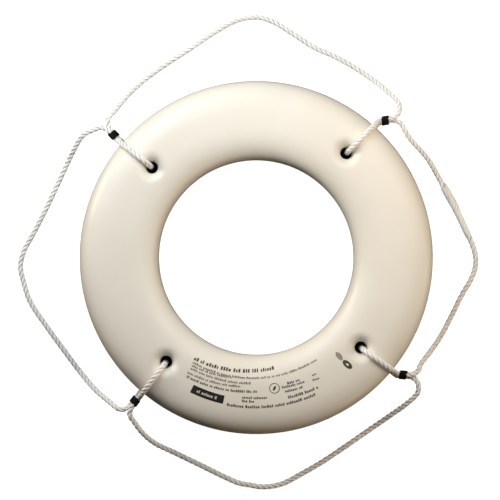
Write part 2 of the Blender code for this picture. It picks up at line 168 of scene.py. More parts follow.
# The splice in the right loop, from the loop's lower seizing
SPLICE_START = 0.297
SPLICE_LENGTH = 0.115
SPLICE_ORBIT = 0.0049
SPLICE_STRAND = 0.00225
SPLICE_LAY = 0.044
SPLICE_TAPER = 0.016
SPLICE_SLENDER = 0.060  # the length of its lower part, where the tucked ends were thinned
SPLICE_SLENDER_SHARE = 0.45
SPLICE_BUTT = 0.012  # and over what length its upper part ends
TUCK_LEAD = 0.004  # how far into the splice its middle tucked end starts
TUCK_STAGGER = 0.006  # how far apart the three start
TUCK_STEPS = 7  # of the strand, over which a tucked end grows to its full thickness
TUCK_THINNEST = 0.25
SPLICE_WAVE = 0.0006
SPLICE_WAVE_LENGTH = 0.021

# The printed face: each line's radius and angle where it starts and where it ends, its marks' height, and
# how dark it is
PRINT_LINES = (
    (0.2018, 234.3, 0.1903, 275.8, 0.0062, 1.0),
    (0.2090, 234.6, 0.2021, 297.0, 0.0040, 0.6),
    (0.2143, 235.0, 0.2087, 254.3, 0.0040, 0.7),
    (0.2195, 235.3, 0.2149, 263.4, 0.0040, 0.6),
    (0.2281, 235.0, 0.2215, 259.0, 0.0040, 0.6),
    (0.2349, 235.5, 0.2285, 266.5, 0.0044, 0.9),
    (0.2397, 260.0, 0.2397, 270.6, 0.0044, 0.9),
    (0.2459, 260.1, 0.2459, 264.9, 0.0044, 0.9),
    (0.2557, 254.5, 0.2540, 289.4, 0.0050, 0.8),
    (0.2211, 279.6, 0.2211, 285.6, 0.0044, 1.0),
    (0.2260, 277.0, 0.2270, 287.3, 0.0044, 1.0),
    (0.2338, 277.9, 0.2345, 286.1, 0.0044, 1.0),
    (0.2449, 278.6, 0.2448, 291.8, 0.0050, 1.0),
    (0.2226, 291.1, 0.2226, 293.3, 0.0036, 0.8),
    (0.2304, 290.3, 0.2320, 293.3, 0.0036, 0.8),
)
BOLD_FROM = 0.75
LABEL = (0.2420, 239.6, 0.2565, 252.9)
# Ovals: radius and angle of the middle, length, width, slant, and the share of it that is left blank
ROUND_MARK = (0.2255, 273.7, 0.0180, 0.0180, 0, 0.86)
ROUND_MARK_CORE = (0.2255, 273.7, 0.0090, 0.0040, 60, 0.05)
DARK_STAMP = (0.2400, 306.2, 0.0200, 0.0105, -46, 0.30)
FAINT_STAMP = (0.2200, 305.8, 0.0170, 0.0085, -55, 0.05)
INK_HEIGHT = 0.00012
HOOP_SIDES = 32
HOOP_RINGS = 6
LABEL_MARGIN = 2.2  # degrees, from the label's ends to its marks
LABEL_MARK_HEIGHT = 0.0050

# The camera, straight above the ring
CAMERA_ABOVE = 4.0  # over the ring's mid-thickness
CAMERA_ROLL = -4.2
CAMERA_SHIFT = (-0.0108, 0.0128)  # across and up as the camera sees it, from the ring's axis
VIEW_WIDTH = 0.8645  # what the camera sees across at mid-thickness
SENSOR = 36.0

# Each light's direction round the ring and above it, its distance, size, power and colour
LIGHTS = {
    "key": (120, 42, 1.2, 0.8, 9.0, (0.75, 0.89, 1.0)),
    "right": (30, 52, 1.2, 0.8, 6.4, (1.0, 0.86, 0.68)),
    "top": (60, 74, 1.2, 0.8, 3.0, (1.0, 0.93, 0.97)),
    "low": (150, 12, 3.0, 0.8, 41.0, (1.0, 0.83, 0.64)),
    "foot": (300, 5, 3.0, 0.8, 9.0, (1.0, 0.78, 0.50)),
    "edge": (345, 8, 3.0, 0.8, 15.0, (1.0, 0.87, 0.68)),
}
WORLD_STRENGTH = 0.0

# The backdrop: the radius of its flat floor, of the bend into its wall, the wall's height, and its glow. It
# has a painted shadow, near black and unlit, within the first distance of the circle under the section's
# middle, and is fully lit from the second.
BACKDROP_RADIUS = 6.0
BACKDROP_BEND = 1.5
BACKDROP_HEIGHT = 7.0
BACKDROP_GLOW = 1.0
PAINTED_SHADOW_BAND = (0.016, 0.030)

UP = np.array((0.0, 0.0, 1.0))


# ---- numbers into meshes -------------------------------------------------------------------------


def polar(radius, angle, height=0.0):
    turn = math.radians(angle)
    return np.array((radius * math.cos(turn), radius * math.sin(turn), height))


def unit(vectors):
    return vectors / np.linalg.norm(vectors, axis=-1, keepdims=True)


def grid_faces(rows, columns, wrap_rows=False, wrap_columns=False):
    """Quads between the points of a grid that is numbered row by row."""
    i = np.arange(rows if wrap_rows else rows - 1)[:, None]
    j = np.arange(columns if wrap_columns else columns - 1)[None, :]
    down, right = (i + 1) % rows, (j + 1) % columns
    corners = (i * columns + j, i * columns + right, down * columns + right, down * columns + j)
    return np.stack(corners, axis=-1).reshape(-1, 4)


def mesh_piece(name, vertices, faces, finish, uv=None, level=None):
    """An object of this mesh at the origin, shaded smooth. uv gives two numbers for each vertex, and level
    one, kept as the attribute "height"."""
    mesh = bpy.data.meshes.new(name)
    mesh.from_pydata(vertices.tolist(), [], faces)
    mesh.shade_smooth()
    if uv is not None:
        corners = np.empty(len(mesh.loops), np.int32)
        mesh.loops.foreach_get("vertex_index", corners)
        layer = mesh.uv_layers.new(name="UVMap")
        layer.data.foreach_set("uv", uv[corners].astype(np.float32).ravel())
    if level is not None:
        attribute = mesh.attributes.new("height", "FLOAT", "POINT")
        attribute.data.foreach_set("value", level.astype(np.float32))
    mesh.materials.append(finish)
    obj = bpy.data.objects.new(name, mesh)
    bpy.context.scene.collection.objects.link(obj)
    return obj


def mend(obj):
    """Merges doubled vertices and turns every face outwards."""
    shape = bmesh.new()
    shape.from_mesh(obj.data)
    bmesh.ops.remove_doubles(shape, verts=shape.verts, dist=1e-6)
    bmesh.ops.recalc_face_normals(shape, faces=shape.faces)
    shape.to_mesh(obj.data)
    shape.free()
    obj.data.shade_smooth()


# ---- materials -----------------------------------------------------------------------------------


class Finish:
    """A material under construction: its node tree, with short calls to add a node and to join two."""

    def __init__(self, name, roughness, colour=(0.8, 0.8, 0.8)):
        self.made = bpy.data.materials.new(name)
        self.made.use_nodes = True
        self.tree = self.made.node_tree
        self.shader = self.tree.nodes["Principled BSDF"]
        self.shader.inputs["Roughness"].default_value = roughness
        self.shader.inputs["Base Color"].default_value = (*colour, 1)

    def add(self, kind, **inputs):
        node = self.tree.nodes.new("ShaderNode" + kind)
        for name, value in inputs.items():
            node.inputs[name.replace("_", " ")].default_value = value
        return node

    def join(self, output, target):
        self.tree.links.new(output, target)

    def places(self):
        return self.add("TexCoord").outputs["Object"]

    def noise(self, where, scale, detail=3.0, roughness=0.5):
        node = self.add("TexNoise", Scale=scale, Detail=detail, Roughness=roughness)
        self.join(where, node.inputs["Vector"])
        return node.outputs["Fac"]

    def ramp(self, fac, *stops):
        """A colour ramp with these (position, colour) stops."""
        node = self.add("ValToRGB")
        elements = node.color_ramp.elements
        while len(elements) < len(stops):
            elements.new(0.5)
        for element, (position, colour) in zip(elements, stops):
            element.position = position
            element.color = (*colour, 1)
        self.join(fac, node.inputs["Fac"])
        return node.outputs["Color"]

    def spread(self, value, low, high, start=0.0, end=1.0):
        """The value, mapped from start..end to low..high."""
        node = self.add("MapRange")
        node.inputs["From Min"].default_value = start
        node.inputs["From Max"].default_value = end
        node.inputs["To Min"].default_value = low
        node.inputs["To Max"].default_value = high
        self.join(value, node.inputs["Value"])
        return node.outputs["Result"]

    def blend(self, fac, first, second, how="MIX"):
        node = self.add("Mix")
        node.data_type = "RGBA"
        node.blend_type = how
        for source, socket in ((fac, node.inputs[0]), (first, node.inputs[6]), (second, node.inputs[7])):
            if isinstance(source, bpy.types.NodeSocket):
                self.join(source, socket)
            else:
                socket.default_value = source
        return node.outputs[2]

    def bump(self, height, strength, distance, under=None):
        node = self.add("Bump", Strength=strength, Distance=distance)
        self.join(height, node.inputs["Height"])
        if under is not None:
            self.join(under, node.inputs["Normal"])
        return node.outputs["Normal"]

    def paint(self, colour=None, roughness=None, normal=None):
        for source, name in ((colour, "Base Color"), (roughness, "Roughness"), (normal, "Normal")):
            if source is not None:
                self.join(source, self.shader.inputs[name])
        return self.made


def shell_finish():
    """Satin cream plastic: faint yellowing in clouds, fine grime specks, and the slight orange peel and
    waviness of a moulding."""
    f = Finish("shell_plastic", 0.4)
    where = f.places()
    clouds = f.ramp(
        f.noise(where, 5.0, 4.0, 0.6), (0.30, (0.800, 0.745, 0.640)), (0.70, (0.845, 0.800, 0.705))
    )
    specks = f.spread(f.noise(where, 420.0, 2.0), 0.0, 1.0, 0.70, 0.80)
    soiled = f.blend(f.spread(specks, 0.0, 0.10), clouds, (0.45, 0.38, 0.29, 1))
    shine = f.spread(f.noise(where, 14.0, 3.0), 0.34, 0.48, 0.3, 0.7)
    waves = f.bump(f.noise(where, 26.0, 2.0), 0.12, 0.0012)
    peel = f.bump(f.noise(where, 900.0, 2.0), 0.10, 0.00012, waves)
    return f.paint(soiled, shine, peel)


def plug_finish():
    """The same plastic as the shell, a shade greyer and with a finer grain."""
    f = Finish("plug_plastic", 0.42)
    where = f.places()
    colour = f.ramp(f.noise(where, 60.0), (0.3, (0.74, 0.70, 0.60)), (0.7, (0.81, 0.77, 0.67)))
    return f.paint(colour, None, f.bump(f.noise(where, 1200.0), 0.15, 0.0001))


def foam_finish():
    """Rigid poured foam: pale amber, with fine closed cells."""
    f = Finish("foam", 0.9)
    where = f.places()
    cells = f.add("TexVoronoi", Scale=900.0)
    f.join(where, cells.inputs["Vector"])
    colour = f.ramp(cells.outputs["Distance"], (0.0, (0.62, 0.52, 0.30)), (0.6, (0.80, 0.72, 0.48)))
    return f.paint(colour, None, f.bump(cells.outputs["Distance"], 0.4, 0.0005))


def rope_finish():
    """Laid fibre rope: every strand is a bundle of fine yarns that run nearly along the rope, with painted
    light
    and shade by height: paler where they stand proud, and browner and darker down in the grooves between
    the strands."""
    f = Finish("rope_fibre", 0.75)
    f.shader.inputs["Sheen Weight"].default_value = 0.9
    f.shader.inputs["Sheen Roughness"].default_value = 0.5
    f.shader.inputs["Specular IOR Level"].default_value = 0.3
    route = f.add("UVMap").outputs["UV"]
    slanted = f.add("Mapping", Rotation=(0, 0, 0.42))
    f.join(route, slanted.inputs["Vector"])
    yarns = f.add("TexWave", Scale=330.0, Distortion=1.2, Detail=1.0)
    yarns.bands_direction = "X"
    f.join(slanted.outputs["Vector"], yarns.inputs["Vector"])
    fibres = f.add("TexNoise", Scale=1.0, Detail=3.0)
    stretched = f.add("Mapping", Scale=(2600, 180, 1), Rotation=(0, 0, 0.42))
    f.join(route, stretched.inputs["Vector"])
    f.join(stretched.outputs["Vector"], fibres.inputs["Vector"])
    proud = f.add("Attribute")
    proud.attribute_name = "height"
    # Painted light and shade from the height over the rope's middle: dark brown in the grooves, palest on
    # the strands' crowns.
    painted_groove_shade = f.ramp(
        proud.outputs["Fac"],
        (0.57, (0.20, 0.16, 0.115)), (0.78, (0.84, 0.81, 0.74)), (0.90, (0.98, 0.97, 0.94)),
    )
    lines = f.spread(yarns.outputs["Fac"], 0.92, 1.06)
    streaks = f.spread(fibres.outputs["Fac"], 0.92, 1.05, 0.3, 0.7)
    shaded_yarns = f.blend(1.0, painted_groove_shade, lines, "MULTIPLY")
    shaded_yarns = f.blend(1.0, shaded_yarns, streaks, "MULTIPLY")
    soil = f.spread(f.noise(f.places(), 18.0, 4.0), 0.0, 0.10, 0.45, 0.8)
    colour = f.blend(soil, shaded_yarns, (0.60, 0.53, 0.42, 1))
    normal = f.bump(yarns.outputs["Fac"], 0.5, 0.00022)
    normal = f.bump(fibres.outputs["Fac"], 0.35, 0.00012, normal)
    return f.paint(colour, None, normal)


def seizing_finish():
    """Black twine, with the fine slant of its own twist and a dull gloss."""
    f = Finish("seizing_tape", 0.55)
    f.shader.inputs["Specular IOR Level"].default_value = 0.2
    route = f.add("UVMap").outputs["UV"]
    slanted = f.add("Mapping", Rotation=(0, 0, 0.7))
    f.join(route, slanted.inputs["Vector"])
    twist = f.add("TexWave", Scale=420.0, Distortion=0.8)
    f.join(slanted.outputs["Vector"], twist.inputs["Vector"])
    colour = f.ramp(twist.outputs["Fac"], (0.2, (0.001, 0.001, 0.001)), (0.9, (0.008, 0.007, 0.006)))
    return f.paint(colour, None, f.bump(twist.outputs["Fac"], 0.6, 0.0002))


def ink_finish(name, dark, light):
    """Printing ink on plastic, which covers it unevenly: dark in places, and worn to a lighter tone."""
    f = Finish(name, 0.6)
    f.shader.inputs["Specular IOR Level"].default_value = 0.2
    return f.paint(f.ramp(f.noise(f.places(), 700.0, 2.0), (0.35, dark), (0.75, light)))


SHELL = shell_finish()
PLUG = plug_finish()
FOAM = foam_finish()
ROPE = rope_finish()
SEIZING = seizing_finish()
INK = ink_finish("print_ink", (0.040, 0.029, 0.022), (0.16, 0.12, 0.088))
FAINT_INK = ink_finish("faint_ink", (0.13, 0.10, 0.072), (0.32, 0.26, 0.20))
WORN_INK = ink_finish("worn_ink", (0.17, 0.14, 0.11), (0.58, 0.51, 0.42))
LABEL_INK = ink_finish("label_ink", (0.012, 0.011, 0.010), (0.030, 0.027, 0.024))
PALE_INK = ink_finish("pale_ink", (0.55, 0.50, 0.42), (0.75, 0.70, 0.60))


# ---- the moulded shell ---------------------------------------------------------------------------


def bulge(turn, power):
    """The points of a superellipse of unit size in these directions: the two coordinates' powers add up
    to 1."""
    across, up = np.cos(turn), np.sin(turn)
    scale = (np.abs(across) ** power + np.abs(up) ** power) ** (-1 / power)
    return across * scale, up * scale


def direction_at(across, power):
    """The direction in which a superellipse of unit size reaches this far across."""
    return math.atan2((1 - across**power) ** (1 / power), across)


def face_height(radius, side):
    """Height above mid-thickness of the front or back, without its holes: half a superellipse in front, and
    two quarter ellipses with the flat land between them behind."""
    land, power = (0.0, FACE_POWER) if side == FRONT else (HALF_LAND, BACK_POWER)
    across = np.maximum(np.abs(radius - SECTION_RADIUS) - land, 0) / (HALF_WIDTH - land)
    return side * HALF_THICKNESS * np.maximum(1 - across**power, 0) ** (1 / power)


def mouth_depth(reach):
    """How far the surface dips at this distance from a hole's axis: not at all outside the mouth, and
    steeply at the bore. The dip and the distance follow a curve much like a quarter of an ellipse."""
    share = np.clip((HOLE_RADIUS + LIP_WIDTH - reach) / LIP_WIDTH, 0, 1)
    return LIP_DEPTH * (1 - np.sqrt(1 - share**LIP_POWER))


def shell_height(x, y, side):
    """Height above mid-thickness of the whole front or back: its face, less the nearest hole's mouth."""
    reach = np.full(np.shape(x), np.inf)
    for angle in HOLE_ANGLES.values():
        hole = polar(SECTION_RADIUS, angle)
        reach = np.minimum(reach, np.hypot(x - hole[0], y - hole[1]))
    return face_height(np.hypot(x, y), side) - side * mouth_depth(reach)


def section_edge(side):
    """Radius and height along the outer (+1) or inner (-1) edge of the section, from back to front: part of
    a quarter ellipse behind, part of a superellipse in front, and a fine seam bead between them, where the
    points are closer."""
    front = direction_at(PATCH_HALF / HALF_WIDTH, FACE_POWER)
    behind = direction_at((PATCH_HALF - HALF_LAND) / (HALF_WIDTH - HALF_LAND), BACK_POWER)
    seam = SEAM_STEP * np.arange(-3, 4)
    back_turn = np.append(np.linspace(-behind, seam[0], RIM_STEPS), seam[1:3])
    face_turn = np.append(seam[3:-1], np.linspace(seam[-1], front, RIM_STEPS))
    back_across, back_up = bulge(back_turn, BACK_POWER)
    face_across, face_up = bulge(face_turn, FACE_POWER)
    reach = np.append(HALF_LAND + (HALF_WIDTH - HALF_LAND) * back_across, HALF_WIDTH * face_across)
    height = HALF_THICKNESS * np.append(back_up, face_up)
    bead = SEAM_HEIGHT * np.exp(-((height / SEAM_HALF) ** 2))
    return SECTION_RADIUS + side * (reach + bead), height


def shell_surface():
    """The ring's whole surface: its section carried round the ring, with a square patch left out round
    each hole in front and behind, and the patches filled by spokes that run from their edges over the
    hole's lip, down its bore and out again on the other side."""
    outer_r, outer_z = section_edge(1)
    inner_r, inner_z = section_edge(-1)
    across = np.linspace(PATCH_HALF, -PATCH_HALF, PATCH_STEPS + 1)[1:-1]
    radius = np.concatenate([
        outer_r, SECTION_RADIUS + across, inner_r[::-1], SECTION_RADIUS - across,
    ])
    edge, flat = len(outer_r), len(across)
    height = np.concatenate([outer_z, np.full(flat, np.nan), inner_z[::-1], np.full(flat, np.nan)])
    columns = len(radius)

    turns = np.concatenate([
        np.concatenate([
            np.linspace(angle - PATCH_TURN, angle + PATCH_TURN, PATCH_STEPS + 1),
            np.linspace(angle + PATCH_TURN, angle + 90 - PATCH_TURN, GAP_STEPS + 1)[1:-1],
        ])
        for angle in HOLE_ANGLES.values()
    ])
    rows = len(turns)
    theta = np.radians(turns)[:, None]
    x, y = radius * np.cos(theta), radius * np.sin(theta)
    z = np.broadcast_to(height, x.shape).copy()
    front = slice(edge, edge + flat)
    back = slice(2 * edge + flat, columns)
    z[:, front] = shell_height(x[:, front], y[:, front], FRONT)
    z[:, back] = shell_height(x[:, back], y[:, back], BACK)
    vertices = [np.stack([x, y, z], axis=-1).reshape(-1, 3)]
    faces = grid_faces(rows, columns, True, True)

    row, column = faces[:, 0] // columns, faces[:, 0] % columns
    in_patch = row % (PATCH_STEPS + GAP_STEPS) < PATCH_STEPS
    over_front = (column >= edge - 1) & (column < edge + flat)
    over_back = column >= 2 * edge + flat - 1
    faces = [faces[~(in_patch & (over_front | over_back))]]

    side = np.linspace(-1, 1, PATCH_STEPS + 1)[:-1]
    one = np.ones(PATCH_STEPS)
    square_turn = np.concatenate([side, one, -side, -one])
    square_reach = np.concatenate([-one, side, one, -side])
    lip = HOLE_RADIUS + LIP_WIDTH - LIP_WIDTH * np.cos(np.radians(np.linspace(90, 0, LIP_STEPS)))
    for angle in HOLE_ANGLES.values():
        hole = polar(SECTION_RADIUS, angle)
        rim_theta = np.radians(angle + PATCH_TURN * square_turn)
        rim_radius = SECTION_RADIUS + PATCH_HALF * square_reach
        rim = np.stack([rim_radius * np.cos(rim_theta), rim_radius * np.sin(rim_theta)], axis=-1) - hole[:2]
        far = np.linalg.norm(rim, axis=1)
        share = np.linspace(1, 0, LIP_STEPS // 2, endpoint=False)[:, None]
        out = lip[0] + (far - lip[0]) * share
        reach = np.concatenate([out, np.repeat(lip[:, None], len(far), axis=1)])
        spoke_x = hole[0] + rim[:, 0] / far * reach
        spoke_y = hole[1] + rim[:, 1] / far * reach
        down = [
            np.stack([spoke_x, spoke_y, shell_height(spoke_x, spoke_y, which)], axis=-1)
            for which in (FRONT, BACK)
        ]
        start, end = down[0][-1], down[1][-1]
        fall = np.linspace(0, 1, LIP_STEPS // 2 + 2)[1:-1, None, None]
        grid = np.concatenate([down[0], start + (end - start) * fall, down[1][::-1]])
        first = sum(len(part) for part in vertices)
        vertices.append(grid.reshape(-1, 3))
        faces.append(first + grid_faces(len(grid), grid.shape[1], False, True))
    return np.concatenate(vertices), np.concatenate(faces)


def lifted(vertices):
    """The same points measured from the floor instead of from the ring's mid-thickness."""
    return vertices + MIDDLE_Z * UP


def make_shell():
    """The moulded shell's outer surface, with the bores of its four holes."""
    vertices, faces = shell_surface()
    shell = mesh_piece("ring_shell_moulding", lifted(vertices), faces.tolist(), SHELL)
    mend(shell)
    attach(shell, "ring")
    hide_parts("ring_shell")


# ---- the printed face ----------------------------------------------------------------------------


def on_face(radius, angle):
    """Points a hair above the front of the shell, at these radii and angles."""
    theta = np.radians(angle)
    x, y = radius * np.cos(theta), radius * np.sin(theta)
    return lifted(np.stack([x, y, shell_height(x, y, FRONT) + INK_HEIGHT], axis=-1))


def block(low, high, start, end, steps=1):
    """A patch of ink between two radii and two angles, in this many steps each way."""
    radii, angles = np.meshgrid(np.linspace(high, low, steps + 1), np.linspace(start, end, steps + 1))
    return on_face(radii, angles).reshape(-1, 3), grid_faces(steps + 1, steps + 1)


def hoop(radius, angle, length, width, slant, bore):
    """An oval band of ink round the point at this radius and angle: nested ovals, their length turned by
    the slant, that shrink to this share of the whole."""
    turn = np.linspace(0, 2 * np.pi, HOOP_SIDES, endpoint=False)[:, None]
    share = np.linspace(1, bore, HOOP_RINGS)
    along, across = length / 2 * share * np.cos(turn), width / 2 * share * np.sin(turn)
    way, aside, middle = polar(1, slant), polar(1, slant + 90), polar(radius, angle)
    x = middle[0] + along * way[0] + across * aside[0]
    y = middle[1] + along * way[1] + across * aside[1]
    points = on_face(np.hypot(x, y), np.degrees(np.arctan2(y, x)))
    return points.reshape(-1, 3), grid_faces(HOOP_SIDES, HOOP_RINGS, True, False)


def gather(patches):
    """Several patches as one list of vertices and one of faces."""
    vertices, faces, first = [], [], 0
    for points, quads in patches:
        vertices.append(points)
        faces.append(quads + first)
        first += len(points)
    return np.concatenate(vertices), np.concatenate(faces)


def printed_line(random, start_radius, start, end_radius, end, height):
    """A line of marks that spells nothing: groups of upright dashes, some of them taller."""
    patches = []
    angle = start
    while angle < end:
        dashes = random.integers(2, 9)
        for _ in range(dashes):
            wide = height * random.uniform(0.34, 0.66)
            share = (angle - start) / (end - start)
            base = start_radius + (end_radius - start_radius) * share
            turn = math.degrees(wide / base)
            tall = height * random.choice((0.72, 0.72, 1.0))
            if angle + turn > end:
                return patches
            foot = base + height / 2
            patches.append(block(foot - tall, foot, angle, angle + turn))
            angle += turn + math.degrees(height * 0.20 / base)
        angle += math.degrees(height * 0.50 / base)
    return patches


def ink_piece(name, patches, finish):
    vertices, faces = gather(patches)
    piece = mesh_piece(name, vertices, faces.tolist(), finish)
    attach(piece, "ring")
    return piece


def make_print():
    """The lines of print along the bottom of the face, a round mark and a dark label among them, and two
    rubber-stamp marks near the lower right hole. None of it is lettering."""
    random = np.random.default_rng(11)
    dark, faint = [], []
    for start_radius, start, end_radius, end, height, weight in PRINT_LINES:
        line = printed_line(random, start_radius, start, end_radius, end, height)
        (dark if weight > BOLD_FROM else faint).extend(line)
    ink_piece("printed_lines_bold", dark, INK)
    ink_piece("printed_lines_fine", faint, FAINT_INK)
    low, start, high, end = LABEL
    ink_piece("printed_label", [block(low, high, start, end, 16)], LABEL_INK)
    middle = (low + high) / 2
    first, last = start + LABEL_MARGIN, end - LABEL_MARGIN
    marks = printed_line(random, middle, first, middle, last, LABEL_MARK_HEIGHT)
    raised = [(points + INK_HEIGHT * UP, quads) for points, quads in marks]
    ink_piece("label_marks", raised, PALE_INK)
    ink_piece("round_mark", [hoop(*ROUND_MARK), hoop(*ROUND_MARK_CORE)], INK)
    ink_piece("dark_stamp", [hoop(*DARK_STAMP)], INK)
    ink_piece("faint_stamp", [hoop(*FAINT_STAMP)], WORN_INK)


# ---- the rope ------------------------------------------------------------------------------------


def evenly(line, spacing):
    """Points this far apart, or nearly, along the line through the given points."""
    along = np.concatenate([[0], np.cumsum(np.linalg.norm(np.diff(line, axis=0), axis=1))])
    at = np.linspace(0, along[-1], max(2, round(along[-1] / spacing)) + 1)
    return np.stack([np.interp(at, along, line[:, axis]) for axis in range(3)], axis=1)


def smooth_line(points, spacing):
    """Centripetal Catmull-Rom curve: each span between two points is a blend of straight lines through the
    four points round it, weighted by the square roots of the distances between them."""
    p = np.array(points)
    p = np.vstack([2 * p[0] - p[1], p, 2 * p[-1] - p[-2]])
    a, b, c, d = (p[i:len(p) - 3 + i, None] for i in range(4))

    def root(first, second):
        return np.sqrt(np.linalg.norm(second - first, axis=-1))

    def mix(first, second, share):
        return first + (second - first) * share[..., None]

    t1 = root(a, b)
    t2 = t1 + root(b, c)
    t3 = t2 + root(c, d)
    t = t1 + (t2 - t1) * np.linspace(0, 1, 24, endpoint=False)
    near, middle, far = mix(a, b, t / t1), mix(b, c, (t - t1) / (t2 - t1)), mix(c, d, (t - t2) / (t3 - t2))
    early, late = mix(near, middle, t / t2), mix(middle, far, (t - t1) / (t3 - t1))
    fine = mix(early, late, (t - t1) / (t2 - t1)).reshape(-1, 3)
    return evenly(np.vstack([fine, p[-2]]), spacing)


def leg_offset(side):
    """From the middle of a seizing to the middle of one of its legs: across, and up."""
    half = side * (ROPE_RADIUS + LEG_GAP / 2)
    return half * math.cos(math.radians(LEG_TILT)), half * math.sin(math.radians(LEG_TILT))


def seizing_point(corner, side, along, across=0.0, up=0.0):
    """A point along a seizing's bore from its middle, aside towards this side's leg, and up from
    mid-thickness."""
    heading = SEIZING_HEADINGS[corner]
    middle = polar(SEIZING_RADIUS, SEIZING_ANGLES[corner])
    return middle + polar(along, heading) + side * polar(across, heading + 90) + up * UP


def leg_point(corner, side, along):
    across, up = leg_offset(side)
    return seizing_point(corner, side, along, abs(across), up)


def tail_points(corner, side):
    """The bend by which a leg leaves its seizing: an arc that turns towards the leg's own loop while it
    sinks or climbs to mid-thickness."""
    across, up = leg_offset(side)
    points = []
    for share in (1 / 3, 2 / 3, 1):
        swept = math.radians(TAIL_BEND * share)
        along = STRAIGHT_HALF + TAIL_BEND_RADIUS * math.sin(swept)
        aside = abs(across) + TAIL_BEND_RADIUS * (1 - math.cos(swept))
        points.append(seizing_point(corner, side, along, aside, up * (1 - share * share * (3 - 2 * share))))
    return points


def leg_points(corner, side):
    """One leg of a bight, from inside the hole to the middle of the seizing: up the outer wall of the hole,
    over its lip, and round the ring's edge."""
    hole = polar(SECTION_RADIUS, HOLE_ANGLES[corner])
    heading = unit((leg_point(corner, side, -STRAIGHT_HALF) - hole) * (1, 1, 0))
    points = []
    for turn in np.radians(LIP_TURNS[side]):
        reach = HOLE_RADIUS + LIP_WIDTH - (LIP_WIDTH + ROPE_OFFSET) * math.cos(turn)
        height = LIP_TOP - LIP_DEPTH + (LIP_DEPTH + ROPE_OFFSET) * math.sin(turn)
        points.append(hole + heading * reach + side * height * UP)
    land, power = (0.0, FACE_POWER) if side == FRONT else (HALF_LAND, BACK_POWER)
    width = HALF_WIDTH - land
    inward = hole @ heading
    first = direction_at((FACE_REACH[side] - land) / width, power)
    for turn in np.linspace(first, math.radians(EDGE_TURN), EDGE_STEPS + 1):
        across, up = bulge(turn, power)
        normal = unit(np.array((across ** (power - 1) / width, up ** (power - 1) / HALF_THICKNESS)))
        radius = SECTION_RADIUS + land + width * across + ROPE_OFFSET * normal[0]
        height = side * (HALF_THICKNESS * up + ROPE_OFFSET * normal[1])
        reach = math.sqrt(inward * inward - hole @ hole + radius * radius) - inward
        points.append(hole + heading * reach + height * UP)
    points += [leg_point(corner, side, STRAIGHT_HALF * share) for share in (-1, -1 / 3, 0)]
    return points


def bight_line(corner):
    return lifted(smooth_line([*leg_points(corner, FRONT)[::-1], *leg_points(corner, BACK)], STRAND_STEP))


def loop_line(loop):
    """A loop from the middle of one seizing to the middle of the next."""
    first, last = LOOP_ENDS[loop]
    floor = RESTING_HEIGHT - MIDDLE_Z
    points = [leg_point(first, FRONT, STRAIGHT_HALF * share) for share in (0, 1 / 3, 1)]
    points += tail_points(first, FRONT)
    points += [np.array((x, y, floor * (1 - lift))) for x, y, lift in LOOP_ROUTES[loop]]
    points += tail_points(last, BACK)[::-1]
    points += [leg_point(last, BACK, STRAIGHT_HALF * share) for share in (1, 1 / 3, 0)]
    line = smooth_line(points, STRAND_STEP)
    line[:, 2] = np.maximum(line[:, 2], floor)
    return lifted(line)


def line_length(line):
    return float(np.linalg.norm(np.diff(line, axis=0), axis=1).sum())


def strand(line, across, orbit, radius, turn):
    """A tube whose middle winds round the line. At each point the strand's middle lies at the orbit's
    distance in the direction of the turn, measured from across, and its section is an ellipse that is
    longer the way the strand slants. Gives vertices, faces, UV in metres, and height as a share of the
    rope's radius."""
    ahead = unit(np.gradient(line, axis=0))
    side = unit(np.cross(across, ahead))
    up = np.cross(ahead, side)
    orbit, radius, turn = (np.broadcast_to(value, len(line)) for value in (orbit, radius, turn))
    out = np.cos(turn)[:, None] * side + np.sin(turn)[:, None] * up
    aside = np.cross(ahead, out)
    step = np.linalg.norm(np.gradient(line, axis=0), axis=1)
    slant = np.sqrt(1 + (orbit * np.gradient(turn) / step) ** 2)
    b = 2 * np.pi * np.arange(STRAND_SIDES) / STRAND_SIDES
    outward = orbit[:, None] + radius[:, None] * np.cos(b)
    sideways = (radius * slant)[:, None] * np.sin(b)
    points = line[:, None] + outward[..., None] * out[:, None] + sideways[..., None] * aside[:, None]
    far = np.hypot(outward, sideways)
    along = np.cumsum(step * slant)
    uv = np.stack([
        np.broadcast_to(b * STRAND_RADIUS, far.shape), np.broadcast_to(along[:, None], far.shape),
    ], axis=-1)
    faces = grid_faces(len(line), STRAND_SIDES, False, True)[:, ::-1].tolist()
    last = (len(line) - 1) * STRAND_SIDES
    faces.append(list(range(STRAND_SIDES))[::-1])
    faces.append([last + i for i in range(STRAND_SIDES)])
    return points.reshape(-1, 3), faces, uv.reshape(-1, 2), (far / (orbit + radius)[:, None]).ravel()


def rope_piece(name, strands):
    """Strands joined as one mesh."""
    vertices, faces, uv, level, first = [], [], [], [], 0
    for points, quads, route, height in strands:
        vertices.append(points)
        faces += [[first + i for i in quad] for quad in quads]
        uv.append(route)
        level.append(height)
        first += len(points)
    piece = mesh_piece(
        name, np.concatenate(vertices), faces, ROPE, np.concatenate(uv), np.concatenate(level)
    )
    return piece


def laid_strands(line, across):
    """The three strands of plain rope, laid up to the right."""
    along = np.linspace(0, line_length(line), len(line))
    turn = 2 * np.pi * along / LAY_LENGTH
    return [
        strand(line, across, STRAND_ORBIT, STRAND_RADIUS, turn + 2 * np.pi * k / 3) for k in range(3)
    ]


def make_bight(corner):
    heading = SEIZING_HEADINGS[corner]
    piece = rope_piece(f"laid_bight_{corner}", laid_strands(bight_line(corner), polar(1, heading + 90)))
    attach(piece, "ring")
    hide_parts(f"rope_bight_{corner}")


def eased(share):
    """The share from 0 to 1, with a gentle start and end."""
    share = np.clip(share, 0, 1)
    return share * share * (3 - 2 * share)


